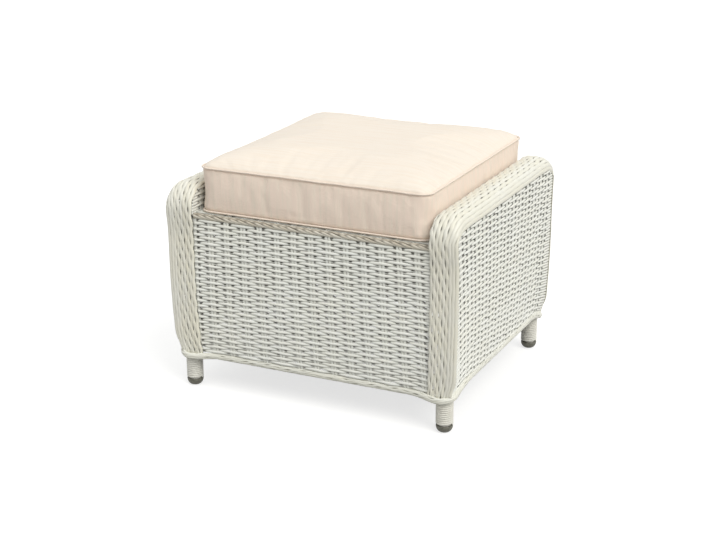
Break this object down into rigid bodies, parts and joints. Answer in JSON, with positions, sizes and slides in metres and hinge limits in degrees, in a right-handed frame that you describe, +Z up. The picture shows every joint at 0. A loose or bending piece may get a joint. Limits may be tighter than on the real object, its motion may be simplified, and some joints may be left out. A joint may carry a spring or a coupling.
{
  "type": "outdoor ottoman footstool",
  "caption": "Low square footstool woven in flat synthetic strand over a metal tube frame, with a rounded arm at each side, short wound legs and a loose piped box cushion between the arms.",
  "frame": {"origin": "on the floor, under the middle of the body", "axes": "+X to the right across the arms, -Y out of the front, +Z up"},
  "size_m": [0.5938, 0.521, 0.4766],
  "materials": {
    "panel_strand": "satin",
    "band_strand": "satin",
    "frame_paint": "satin",
    "glide_plastic": "matte",
    "cushion_cloth": "matte",
    "cushion_foam": "matte",
    "zip_tape": "matte",
    "zip_metal": "satin"
  },
  "bodies": {
    "body": {"side_hoop_left": "frame_paint", "side_hoop_right": "frame_paint", "top_rail_front": "frame_paint", "top_rail_back": "frame_paint", "bottom_rail_front": "frame_paint", "bottom_rail_back": "frame_paint", "bottom_rail_left": "frame_paint", "bottom_rail_right": "frame_paint", "seat_rail_left": "frame_paint", "seat_rail_right": "frame_paint", "seat_cross_bar": "frame_paint", "edge_rod_outer_left": "frame_paint", "edge_rod_outer_right": "frame_paint", "edge_rod_inner_left": "frame_paint", "edge_rod_inner_right": "frame_paint", "front_weave": "panel_strand", "back_weave": "panel_strand", "outer_weave_left": "panel_strand", "outer_weave_right": "panel_strand", "inner_weave_left": "panel_strand", "inner_weave_right": "panel_strand", "top_border_front": "panel_strand", "top_border_back": "panel_strand", "bottom_border": "panel_strand", "seat_deck": "panel_strand", "leg_winding_front_left": "panel_strand", "leg_winding_front_right": "panel_strand", "leg_winding_back_left": "panel_strand", "leg_winding_back_right": "panel_strand", "arm_band_left": "band_strand", "arm_band_right": "band_strand", "glide_front_left": "glide_plastic", "glide_front_right": "glide_plastic", "glide_back_left": "glide_plastic", "glide_back_right": "glide_plastic"},
    "cushion": {"cushion_top_panel": "cushion_cloth", "cushion_bottom_panel": "cushion_cloth", "cushion_boxing": "cushion_cloth", "zip_gusset_lower": "cushion_cloth", "zip_gusset_upper": "cushion_cloth", "piping_top": "cushion_cloth", "piping_bottom": "cushion_cloth", "cushion_foam": "cushion_foam", "zip_chain": "zip_tape"},
    "zip_slider": {"zip_slider": "zip_metal"},
    "zip_pull_tab": {"zip_pull_tab": "zip_metal"}
  },
  "joints": [
    {"name": "cushion_lift", "type": "slide", "parent": "body", "child": "cushion", "axis": [0, 0, 1], "range_m": [0, 0.25]},
    {"name": "zip_run", "type": "slide", "parent": "cushion", "child": "zip_slider", "axis": [1, 0, 0], "range_m": [0, 0.4]},
    {"name": "pull_tab_flip", "type": "hinge", "parent": "zip_slider", "child": "zip_pull_tab", "pos_m": [-0.1995, 0.2404, 0.40315], "axis": [0, 0, 1], "range_deg": [0, 170]}
  ]
}
